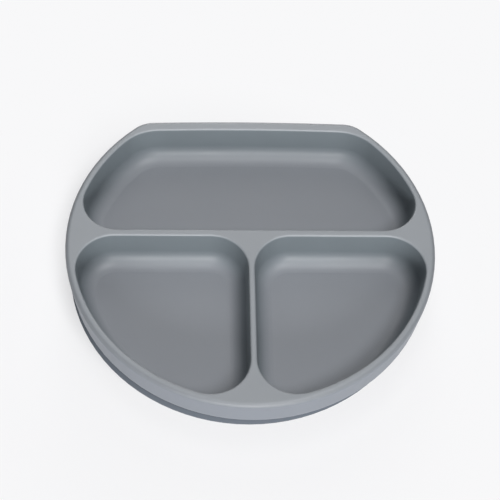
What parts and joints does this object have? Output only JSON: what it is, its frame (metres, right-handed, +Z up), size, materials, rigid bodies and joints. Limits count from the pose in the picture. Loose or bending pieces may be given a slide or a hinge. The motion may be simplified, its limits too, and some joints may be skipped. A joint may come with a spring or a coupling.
{
  "type": "divided silicone suction plate",
  "caption": "D-shaped divided plate for a small child, moulded in soft silicone, with deep round-cornered bowls and a suction skirt underneath.",
  "frame": {"origin": "middle of the plate's box, on the table that the suction skirt stands on", "axes": "+Z up out of the bowls, +Y towards the long cut-off back edge, +X to the right seen from the round front"},
  "size_m": [0.216, 0.1958, 0.029],
  "materials": {
    "silicone": "satin, soft-touch"
  },
  "bodies": {
    "root": {"plate": "silicone"}
  },
  "joints": []
}
